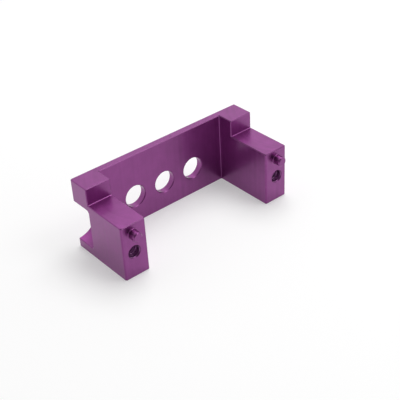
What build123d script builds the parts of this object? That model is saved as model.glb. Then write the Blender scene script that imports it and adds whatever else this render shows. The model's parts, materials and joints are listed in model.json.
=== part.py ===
from build123d import *
import os
from math import radians, tan

# Servo mount bracket milled from one aluminium block, in millimetres.
# The arms reach towards -Y, the wall stands at the rear (+Y) and the base lies on Z = 0.

# Block
servo_gap = 41.7  # clear width between the arms
arm_width = 7.65
arm_depth = 21.2  # rear face to the arms' front faces
arm_height = 16.4
wall_height = 21.4  # wall and shoulders
wall_thickness = 2.15
shoulder_depth = 7.05  # rear face to the step down to the arms

# Holes through the wall
hole_diameter = 6.5
hole_pitch = 10.2
hole_count = 3
hole_height = 8.45

# Half-round pockets, plunged into the rear face on the line of each outer side
pocket_diameter = 12.0
pocket_cover = 1.75  # metal between the pocket and the arm's top
pocket_depth = 7.0
pocket_corner_radius = 0.8  # round the pocket's end

# Tapped hole in the front of each arm, shown at its tap drill size
screw_inset = 3.5  # outer side to the screw's axis
screw_drop = 8.7  # arm's top to the screw's axis
tap_drill_diameter = 3.3
countersink_diameter = 4.0
countersink_angle = 90.0
tap_drill_depth = 10.0
drill_point_angle = 118.0

# Locating pin above each tapped hole
pin_diameter = 2.8
pin_length = 2.35
pin_drop = 3.0  # arm's top to the pin's axis
pin_root_radius = 0.25
pin_end_chamfer = 0.3

# Corners and edges
tool_corner_radius = 0.25  # in the gap's and the steps' inside corners
corner_radius = 0.5  # on the upright corners of the outline
edge_break = 0.2  # on every other outside edge

# Places that follow
length = servo_gap + 2 * arm_width
side = length / 2
rear = (arm_depth + pin_length) / 2
arm_front = rear - arm_depth
wall_front = rear - wall_thickness
shoulder_front = rear - shoulder_depth
pocket_height = arm_height - pocket_cover - pocket_diameter / 2
screw_spacing = length - 2 * screw_inset
screw_height = arm_height - screw_drop
pin_height = arm_height - pin_drop
pocket_plane = Plane.back.offset(rear - pocket_depth)
wall_plane = Plane.XZ.offset(-wall_front)
arm_plane = Plane.XZ.offset(-arm_front)

# Cutter that leaves a pocket: its rounded end is at Z = 0 and it reaches up past the rear face
with BuildPart() as pocket_cutter:
    Cylinder(pocket_diameter / 2, 2 * pocket_depth, align=(Align.CENTER, Align.CENTER, Align.MIN))
    fillet(pocket_cutter.edges().group_by(Axis.Z)[0], pocket_corner_radius)

# Tap drill with its countersink and point: the mouth is at Z = 0 and the point looks down
with BuildPart() as tap_drill:
    drill_radius = tap_drill_diameter / 2
    mouth_radius = countersink_diameter / 2
    countersink_depth = (mouth_radius - drill_radius) / tan(radians(countersink_angle / 2))
    point_depth = drill_radius / tan(radians(drill_point_angle / 2))
    with BuildSketch(Plane.XZ):
        with BuildLine():
            Polyline(
                (0, 0),
                (mouth_radius, 0),
                (drill_radius, -countersink_depth),
                (drill_radius, -tap_drill_depth),
                (0, -tap_drill_depth - point_depth),
                close=True,
            )
        make_face()
    revolve(axis=Axis.Z)

# Locating pin with its root fillet and end chamfer: the root is at Z = 0 and the pin looks up
with BuildPart() as pin:
    pin_radius = pin_diameter / 2
    with BuildSketch(Plane.XZ):
        with BuildLine():
            root = RadiusArc(
                (pin_radius + pin_root_radius, 0), (pin_radius, pin_root_radius), pin_root_radius
            )
            Polyline(
                root @ 1,
                (pin_radius, pin_length - pin_end_chamfer),
                (pin_radius - pin_end_chamfer, pin_length),
                (0, pin_length),
                (0, 0),
                root @ 0,
            )
        make_face()
    revolve(axis=Axis.Z)

with BuildPart() as servo_mount:
    # Block with the gap for the servo, open to the front
    with BuildSketch() as outline:
        with Locations((0, rear)):
            Rectangle(length, arm_depth, align=(Align.CENTER, Align.MAX))
        with Locations((0, wall_front)):
            Rectangle(servo_gap, arm_depth, align=(Align.CENTER, Align.MAX), mode=Mode.SUBTRACT)
        fillet(outline.vertices().group_by(Axis.Y)[1], tool_corner_radius)
        fillet(outline.vertices().group_by(Axis.Y)[0], corner_radius)
        fillet(outline.vertices().group_by(Axis.Y)[-1], corner_radius)
    extrude(amount=wall_height)

    # Step from the shoulders down to the arms
    with BuildSketch(Plane.XY.offset(arm_height)):
        with Locations((0, shoulder_front)):
            Rectangle(length, arm_depth, align=(Align.CENTER, Align.MAX))
    extrude(amount=wall_height, mode=Mode.SUBTRACT)

    # Rear pockets
    with Locations(pocket_plane):
        with Locations((-side, pocket_height), (side, pocket_height)):
            add(pocket_cutter.part, mode=Mode.SUBTRACT)

    # Outside edges are broken, and the steps' inside corners keep the cutter's radius
    chamfer(servo_mount.edges().filter_by(Edge.is_interior, reverse=True), edge_break)
    fillet(servo_mount.edges().filter_by(Edge.is_interior).filter_by(Axis.X), tool_corner_radius)

    # Holes through the wall, with broken rims
    with Locations(wall_plane):
        with Locations((0, hole_height)):
            with GridLocations(hole_pitch, 0, hole_count, 1):
                Hole(hole_diameter / 2, depth=wall_thickness)
    chamfer(servo_mount.edges(Select.LAST).filter_by(GeomType.CIRCLE), edge_break)

    # Tapped holes and pins
    with Locations(arm_plane):
        with Locations((0, screw_height)):
            with GridLocations(screw_spacing, 0, 2, 1):
                add(tap_drill.part, mode=Mode.SUBTRACT)
        with Locations((0, pin_height)):
            with GridLocations(screw_spacing, 0, 2, 1):
                add(pin.part)

servo_mount.part.label = "servo_mount"

os.makedirs("parts", exist_ok=True)
export_step(servo_mount.part, "parts/servo_mount.step")
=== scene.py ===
"""Looks of the servo mount bracket: violet anodised aluminium on a pale floor, in metres."""
import json
from math import cos, pi, radians, sin

import bpy
from mathutils import Matrix, Vector


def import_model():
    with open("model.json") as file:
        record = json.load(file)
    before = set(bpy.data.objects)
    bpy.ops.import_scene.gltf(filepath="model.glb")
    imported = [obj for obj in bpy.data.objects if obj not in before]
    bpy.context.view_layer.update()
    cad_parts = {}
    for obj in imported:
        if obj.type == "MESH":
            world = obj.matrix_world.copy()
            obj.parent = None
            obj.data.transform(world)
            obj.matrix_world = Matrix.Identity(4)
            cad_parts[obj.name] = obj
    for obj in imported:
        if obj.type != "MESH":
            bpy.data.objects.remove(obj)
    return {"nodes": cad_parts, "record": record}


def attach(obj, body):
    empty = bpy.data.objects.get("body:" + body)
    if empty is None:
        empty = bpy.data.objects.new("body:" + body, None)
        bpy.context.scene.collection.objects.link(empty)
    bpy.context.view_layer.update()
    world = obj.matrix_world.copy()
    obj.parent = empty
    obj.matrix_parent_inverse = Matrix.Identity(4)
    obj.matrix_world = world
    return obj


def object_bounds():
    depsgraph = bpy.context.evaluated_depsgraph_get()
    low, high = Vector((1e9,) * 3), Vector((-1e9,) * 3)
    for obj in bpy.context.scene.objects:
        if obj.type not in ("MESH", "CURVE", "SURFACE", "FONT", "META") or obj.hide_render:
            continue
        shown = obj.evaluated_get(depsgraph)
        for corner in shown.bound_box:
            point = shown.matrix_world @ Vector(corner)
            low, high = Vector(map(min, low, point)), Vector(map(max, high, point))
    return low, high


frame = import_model()
cad_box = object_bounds()
mounts = {m["name"]: m for m in frame["record"]["mounts"]}
MM = 0.001
WHITE = (1, 1, 1, 1)
SIDE, REAR, TOP = cad_box[1]
SCREW = Vector(mounts["right_screw_hole"]["pos_m"])
ARM_FRONT = mounts["right_arm_seat"]["pos_m"][1]
ARM_TOP = 16.4 * MM

# Compass directions: 0 is behind the object and 90 is at its right

# Camera, matched to the photograph
AZIMUTH = radians(-141.48)
ELEVATION = radians(34.26)
ROLL = radians(-3.35)
DISTANCE = 250.1 * MM
TARGET = Vector((5.91 * MM, REAR - 10.0 * MM, 3.29 * MM))
LENS = 80.04  # on Blender's 36 mm sensor
CLIP_RANGE = 100  # it sees from a hundredth of its distance to a hundred times as far

# Dye in the oxide, and the metal under it
DYE = (0.244, 0.052, 0.222)
ROUGHNESS = 0.365
OXIDE_IOR = 1.6
OXIDE_WEIGHT = 0.327
OXIDE_ROUGHNESS = 0.175

# Cutter marks, grain and patches of dye
ARC_RADIUS = 16 * MM  # of the arcs on level faces
WANDER = 0.3 * MM  # how far the marks stray
MARK_PITCH = 1.1 * MM
LINE_PITCH = 0.25 * MM
LINE_DETAIL = 1.0
GRAIN_SIZE = 0.12 * MM
PATCH_SIZE = 3 * MM
NOISE_DETAIL = 3.0
NOISE_MIDDLE = 0.5
DYE_PATCHES = 0.3
DYE_MARKS = 0.16
DYE_GRAIN = 0.18
ROUGH_PATCHES = 0.1
ROUGH_MARKS = 0.08
ROUGH_LINES = 0.12
MARK_HEIGHT = 0.0045 * MM
LINE_HEIGHT = 0.003 * MM
GRAIN_HEIGHT = 0.0015 * MM

# Where the look differs: each pair says where the change starts and where it is complete
LEVEL_FACE = (0.9, 0.99)  # upward part of the normal
EDGE = (0.99, 0.85)  # largest part of the normal

# Upright edges, painted darker to damp their highlights (painted shade)
UPRIGHT = (0.4, 0.1)  # upward part of the normal
EDGE_PATCH = (0.2, 0.5)  # of a noise, so that the edges are uneven
EDGE_SIZE = 0.8 * MM  # of that noise
# painted shade on the upright edges, damping their highlights
UPRIGHT_EDGE_PAINTED_SHADE = (0.21, 0.042, 0.19)

# Edges along the tops, but for those on the outer sides, painted darker to damp their highlights
# (painted shade)
BROW_HEIGHT = 0.2 * MM  # of the broken edges
BROW_INSET = 2 * MM  # from the outer sides to where every such edge counts
FRONTAL = (0.4, 0.6)  # part of the normal along the depth
# painted shade on the edges along the tops, damping their highlights
BROW_PAINTED_SHADE = (0.16, 0.034, 0.146)

# Screw holes: painted shade in their mouths, painted light in their bores
HOLE_RIM = (2.09 * MM, 2.05 * MM)  # from the screw's axis
HOLE_END = 12 * MM  # behind the arms' fronts, past the drill's point
MOUTH = (0.0, 0.1 * MM)  # behind the arms' fronts
# painted shade in the screw holes' mouths, hiding their highlight
MOUTH_PAINTED_SHADE = (0.15, 0.03, 0.14)
BORE = (0.1 * MM, 0.8 * MM)  # behind the arms' fronts
# painted light in the bores and on the thread, paler than the dye
BORE_PAINTED_LIGHT = (0.5, 0.24, 0.5)

# Rear pockets, with a painted highlight on their ledges
POCKET_HEIGHT = 8.65 * MM
POCKET_RIM = (6.2 * MM, 6.1 * MM)  # from the pocket's axis, which lies on the outer side
POCKET_END = (5.0 * MM, 1.0 * MM)  # in front of the rear face
POCKET_LEDGE = (0.75, 0.97)  # upward part of the normal
# painted highlight on the pockets' ledges
POCKET_PAINTED_HIGHLIGHT = (0.34, 0.06, 0.3)

# Thread in the tapped holes
THREAD_PITCH = 0.7 * MM
THREAD_HEIGHT = 0.12 * MM
THREAD_ROOT = 0.03 * MM  # how far it reaches into the metal
THREAD_FOOT = 0.6  # its width at the bore, as a share of the pitch
THREAD_START = 1.0  # turns behind the arm's front
THREAD_END = 0.5  # turns in front of the bore's end
THREAD_TAPER = 0.4  # turns at each end
THREAD_STEPS = 40  # round one turn

# Floor
FLOOR_RADIUS = 3.0
FLOOR_SIDES = 64
FLOOR_LEVEL = -0.01 * MM  # just clear of the object's underside
FLOOR_COLOUR = (0.65, 0.65, 0.65)
FLOOR_LIFT = 0.368  # added where the camera or a reflection sees the floor

# Light
WORLD_LIGHT = 0.6  # on the floor
SHOWN_WHITE = 0.879  # where the camera or a reflection sees the world
LAMP_DISTANCE = 0.6
KEY = dict(azimuth=62.4, elevation=66.3, size=0.4, power=1.90)
CARD = dict(azimuth=139.1, elevation=52.6, size=0.25, power=0.45)

# Dark side of the studio, behind the camera
DARK_AZIMUTH = radians(-135.0)
DARK_ELEVATION = radians(33.3)
DARK_INNER = radians(40.2)
DARK_OUTER = radians(49.4)
DARK_SHARE = 0.22  # light left there


def direction(azimuth, elevation):
    return Vector((sin(azimuth) * cos(elevation), cos(azimuth) * cos(elevation), sin(elevation)))


def add(name, data):
    """A new object in the scene."""
    obj = bpy.data.objects.new(name, data)
    bpy.context.collection.objects.link(obj)
    return obj


def camera():
    """The photograph's camera."""
    back = direction(AZIMUTH, ELEVATION)
    level_right = Vector((-cos(AZIMUTH), sin(AZIMUTH), 0))
    level_up = back.cross(level_right)
    right = cos(ROLL) * level_right + sin(ROLL) * level_up
    up = cos(ROLL) * level_up - sin(ROLL) * level_right
    data = bpy.data.cameras.new("camera")
    data.lens = LENS
    data.clip_start = DISTANCE / CLIP_RANGE
    data.clip_end = DISTANCE * CLIP_RANGE
    obj = add("camera", data)
    turn = Matrix((right, up, back)).transposed().to_4x4()
    obj.matrix_world = Matrix.Translation(TARGET + back * DISTANCE) @ turn
    bpy.context.scene.camera = obj


class Nodes:
    """Short forms for building a node tree."""

    def __init__(self, tree):
        self.tree = tree
        tree.nodes.clear()

    def node(self, kind, inputs=(), **settings):
        n = self.tree.nodes.new(kind)
        for key, value in settings.items():
            setattr(n, key, value)
        for key, value in dict(inputs).items():
            if isinstance(value, bpy.types.NodeSocket):
                self.tree.links.new(value, n.inputs[key])
            else:
                n.inputs[key].default_value = value
        return n

    def math(self, operation, *values):
        return self.node("ShaderNodeMath", enumerate(values), operation=operation).outputs[0]

    def product(self, total, *others):
        for value in others:
            total = self.math("MULTIPLY", total, value)
        return total

    def vector(self, operation, *values, output="Vector"):
        n = self.node("ShaderNodeVectorMath", enumerate(values), operation=operation)
        return n.outputs[output]

    def split(self, vector):
        return self.node("ShaderNodeSeparateXYZ", {0: vector}).outputs

    def smooth(self, value, start, end, at_start=0.0, at_end=1.0):
        """A soft change from one value to another, as the input goes from start to end."""
        inputs = enumerate((value, start, end, at_start, at_end))
        return self.node("ShaderNodeMapRange", inputs, interpolation_type="SMOOTHSTEP").outputs[0]

    def mix(self, share, first, second):
        return self.node("ShaderNodeMix", {0: share, 2: first, 3: second}).outputs[0]

    def blend(self, share, first, second):
        """The same for colours."""
        inputs = {0: share, 6: first, 7: second}
        return self.node("ShaderNodeMix", inputs, data_type="RGBA").outputs[2]

    def noise(self, place, size):
        inputs = {"Vector": place, "Scale": 1 / size, "Detail": NOISE_DETAIL}
        return self.node("ShaderNodeTexNoise", inputs).outputs[0]

    def lines(self, path, pitch):
        """Uneven lines across a path."""
        inputs = {"W": path, "Scale": 1 / pitch, "Detail": LINE_DETAIL}
        return self.node("ShaderNodeTexNoise", inputs, noise_dimensions="1D").outputs[0]

    def spread(self, middle, *parts):
        """A middle value with noises added to either side of it."""
        total = middle
        for noise, amount in parts:
            off_middle = self.math("SUBTRACT", noise, NOISE_MIDDLE)
            total = self.math("MULTIPLY_ADD", off_middle, amount, total)
        return total

    def shown(self):
        """1 where the camera, a reflection or a transmission looks, 0 for other light."""
        path = self.node("ShaderNodeLightPath").outputs
        seen = self.math("MAXIMUM", path["Is Camera Ray"], path["Is Glossy Ray"])
        return self.math("MAXIMUM", seen, path["Is Transmission Ray"])


def new_material(name):
    """A material and its empty node tree."""
    material = bpy.data.materials.new(name)
    material.use_nodes = True
    return material, Nodes(material.node_tree)


def cutter_path(t, place, rise):
    """A measure across the cutter's marks: arcs on level faces, upright lines on the others."""
    x, y, z = t.split(place)
    bow = t.math("SUBTRACT", ARC_RADIUS**2, t.math("MULTIPLY", y, y))
    bow = t.math("SQRT", t.math("MAXIMUM", bow, 0.0))
    level = t.smooth(rise, *LEVEL_FACE)
    path = t.mix(level, t.math("ADD", x, y), t.math("ADD", x, bow))
    return t.math("MULTIPLY_ADD", t.noise(place, PATCH_SIZE), WANDER, path)


def upright_edge(t, place, lean, rise):
    """1 on upright edges, in uneven patches."""
    patch = t.smooth(t.noise(place, EDGE_SIZE), *EDGE_PATCH)
    return t.product(t.smooth(lean, *EDGE), t.smooth(rise, *UPRIGHT), patch)


def top_edge(t, x, z, lean, depth_part):
    """1 on the edges along the tops, but for those on the outer sides."""
    half = BROW_HEIGHT / 2
    below = [t.math("COMPARE", z, top - half, half) for top in (ARM_TOP, TOP)]
    inner = t.math("LESS_THAN", t.math("ABSOLUTE", x), SIDE - BROW_INSET)
    inner = t.math("MAXIMUM", inner, t.smooth(depth_part, *FRONTAL))
    return t.product(t.math("MAXIMUM", *below), inner, t.smooth(lean, *EDGE))


def screw_hole(t, across, y):
    """1 in the screw holes, first from their mouths on and then from a little deeper."""
    off_axis = t.vector("DISTANCE", across, (SCREW.x, 0, SCREW.z), output="Value")
    depth = t.math("SUBTRACT", y, ARM_FRONT)
    hole = t.product(t.smooth(off_axis, *HOLE_RIM), t.math("LESS_THAN", depth, HOLE_END))
    return t.product(hole, t.smooth(depth, *MOUTH)), t.product(hole, t.smooth(depth, *BORE))


def pocket_ledge(t, across, y, rise):
    """1 on the ledges of the rear pockets."""
    off_axis = t.vector("DISTANCE", across, (SIDE, 0, POCKET_HEIGHT), output="Value")
    rear = t.smooth(t.math("SUBTRACT", REAR, y), *POCKET_END)
    return t.product(rear, t.smooth(off_axis, *POCKET_RIM), t.smooth(rise, *POCKET_LEDGE))


def dye_with_painted_light(t, place, lean, depth_part, rise):
    """The dye, with painted shade on edges and in the screw holes' mouths, painted light in the
    bores, and a painted highlight on the pockets' ledges.
    """
    x, y, z = t.split(place)
    across = t.node("ShaderNodeCombineXYZ", {0: t.math("ABSOLUTE", x), 2: z}).outputs[0]
    mouth, bore = screw_hole(t, across, y)
    # edges and mouths get painted shade, bores painted light, pocket ledges a painted highlight
    parts = (
        (upright_edge(t, place, lean, rise), UPRIGHT_EDGE_PAINTED_SHADE),
        (top_edge(t, x, z, lean, depth_part), BROW_PAINTED_SHADE),
        (mouth, MOUTH_PAINTED_SHADE),
        (bore, BORE_PAINTED_LIGHT),
        (pocket_ledge(t, across, y, rise), POCKET_PAINTED_HIGHLIGHT),
    )
    colour = (*DYE, 1)
    for share, other in parts:
        colour = t.blend(share, colour, (*other, 1))
    return colour


def anodised_aluminium():
    """Dyed oxide over milled metal, with cutter marks, grain and patches of dye."""
    material, t = new_material("anodised_aluminium")
    place = t.node("ShaderNodeTexCoord").outputs["Object"]
    normal = t.vector("ABSOLUTE", t.node("ShaderNodeNewGeometry").outputs["True Normal"])
    side_part, depth_part, rise = t.split(normal)
    lean = t.math("MAXIMUM", side_part, t.math("MAXIMUM", depth_part, rise))

    path = cutter_path(t, place, rise)
    marks = t.lines(path, MARK_PITCH)
    lines = t.lines(path, LINE_PITCH)
    grain = t.noise(place, GRAIN_SIZE)
    patches = t.noise(place, PATCH_SIZE)
    rough_parts = (patches, ROUGH_PATCHES), (lines, ROUGH_LINES), (marks, ROUGH_MARKS)

    tone = t.spread(1.0, (patches, DYE_PATCHES), (marks, DYE_MARKS), (grain, DYE_GRAIN))
    # the dye, with painted shade and painted light blended into it
    dye = dye_with_painted_light(t, place, lean, depth_part, rise)
    tinted = t.node("ShaderNodeVectorMath", {0: dye, "Scale": tone}, operation="SCALE")
    height = t.spread(0.0, (lines, LINE_HEIGHT), (marks, MARK_HEIGHT), (grain, GRAIN_HEIGHT))
    bump = t.node("ShaderNodeBump", {"Height": height, "Distance": 1.0})
    shader = t.node("ShaderNodeBsdfPrincipled", {
        "Base Color": tinted.outputs[0],
        "Metallic": 1.0,
        "Roughness": t.spread(ROUGHNESS, *rough_parts),
        "Normal": bump.outputs[0],
        "Coat Weight": OXIDE_WEIGHT,
        "Coat Roughness": OXIDE_ROUGHNESS,
        "Coat IOR": OXIDE_IOR,
        "Coat Normal": bump.outputs[0],
    })
    t.node("ShaderNodeOutputMaterial", {"Surface": shader.outputs[0]})
    return material


def ridge_faces(count):
    """The faces of a ridge with three corners at each of its steps, closed at both ends."""
    last = 3 * count
    faces = [(0, 1, 2), (last + 2, last + 1, last)]
    for a in range(0, last, 3):
        b = a + 3
        faces += [(a + k, b + k, b + (k + 1) % 3, a + (k + 1) % 3) for k in range(3)]
    return faces


def thread(name, mount, material):
    """A right-hand thread ridge along a tapped hole, tapered at both ends."""
    bore = mount["dims"]["r_mm"] * MM
    length = mount["dims"]["length_mm"] * MM
    inward = -Vector(mount["axis"])
    mouth = Vector(mount["pos_m"]) - inward * length / 2
    across = Vector((1, 0, 0))
    upward = across.cross(inward)
    turns = length / THREAD_PITCH - THREAD_START - THREAD_END
    count = int(turns * THREAD_STEPS)
    half = inward * THREAD_PITCH * THREAD_FOOT / 2
    verts = []
    for i in range(count + 1):
        done = i / THREAD_STEPS
        taper = min(1, done / THREAD_TAPER, (turns - done) / THREAD_TAPER)
        angle = -2 * pi * done
        out = cos(angle) * across + sin(angle) * upward
        middle = mouth + inward * THREAD_PITCH * (THREAD_START + done)
        foot = out * (bore + THREAD_ROOT)
        crest = out * (bore - THREAD_HEIGHT * taper)
        verts += [middle - half + foot, middle + crest, middle + half + foot]
    mesh = bpy.data.meshes.new(name)
    mesh.from_pydata(verts, [], ridge_faces(count))
    mesh.materials.append(material)
    obj = add(name, mesh)
    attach(obj, "root")


def floor_finish():
    """Matt and pale from above, lifted where it is seen, and clear from below."""
    material, t = new_material("floor")
    matt = t.node("ShaderNodeBsdfDiffuse", {"Color": (*FLOOR_COLOUR, 1)})
    lift = t.node("ShaderNodeEmission", {"Strength": t.math("MULTIPLY", t.shown(), FLOOR_LIFT)})
    above = t.node("ShaderNodeAddShader", {0: matt.outputs[0], 1: lift.outputs[0]})
    below = t.node("ShaderNodeBsdfTransparent", {"Color": WHITE})
    back = t.node("ShaderNodeNewGeometry").outputs["Backfacing"]
    both = t.node("ShaderNodeMixShader", {0: back, 1: above.outputs[0], 2: below.outputs[0]})
    t.node("ShaderNodeOutputMaterial", {"Surface": both.outputs[0]})
    return material


def floor():
    """A pale round floor that keeps the object's shadow and shows white away from it."""
    mesh = bpy.data.meshes.new("floor")
    angles = [2 * pi * i / FLOOR_SIDES for i in range(FLOOR_SIDES)]
    ring = [(FLOOR_RADIUS * cos(a), FLOOR_RADIUS * sin(a), FLOOR_LEVEL) for a in angles]
    mesh.from_pydata(ring, [], [range(FLOOR_SIDES)])
    mesh.materials.append(floor_finish())
    obj = add("floor", mesh)


def world():
    """Even white light all round, but for the studio's dark side, which isn't shown as dark."""
    w = bpy.data.worlds.new("studio")
    bpy.context.scene.world = w
    w.use_nodes = True
    t = Nodes(w.node_tree)
    strength = t.mix(t.shown(), WORLD_LIGHT, SHOWN_WHITE)
    look = t.node("ShaderNodeTexCoord").outputs["Generated"]
    dark = direction(DARK_AZIMUTH, DARK_ELEVATION)
    facing = t.vector("DOT_PRODUCT", look, dark, output="Value")
    share = t.smooth(facing, cos(DARK_OUTER), cos(DARK_INNER), 1.0, DARK_SHARE)
    share = t.math("MAXIMUM", share, t.node("ShaderNodeLightPath").outputs["Is Camera Ray"])
    inputs = {"Color": WHITE, "Strength": t.math("MULTIPLY", strength, share)}
    sky = t.node("ShaderNodeBackground", inputs)
    t.node("ShaderNodeOutputWorld", {"Surface": sky.outputs[0]})


def softbox(name, azimuth, elevation, size, power):
    """A square lamp that looks at the object."""
    data = bpy.data.lights.new(name, "AREA")
    data.size = size
    data.energy = power
    obj = add(name, data)
    ray = direction(radians(azimuth), radians(elevation))
    obj.location = ray * LAMP_DISTANCE
    obj.rotation_euler = ray.to_track_quat("Z", "Y").to_euler()


def dress(material):
    for obj in frame["nodes"].values():
        for s in obj.material_slots:
            s.material = material


camera()
world()
floor()
softbox("key", **KEY)
softbox("card", **CARD)
metal = anodised_aluminium()
dress(metal)
for side in ("left", "right"):
    thread(f"{side}_thread", mounts[f"{side}_screw_hole"], metal)

bpy.context.scene.view_settings.view_transform = "Standard"
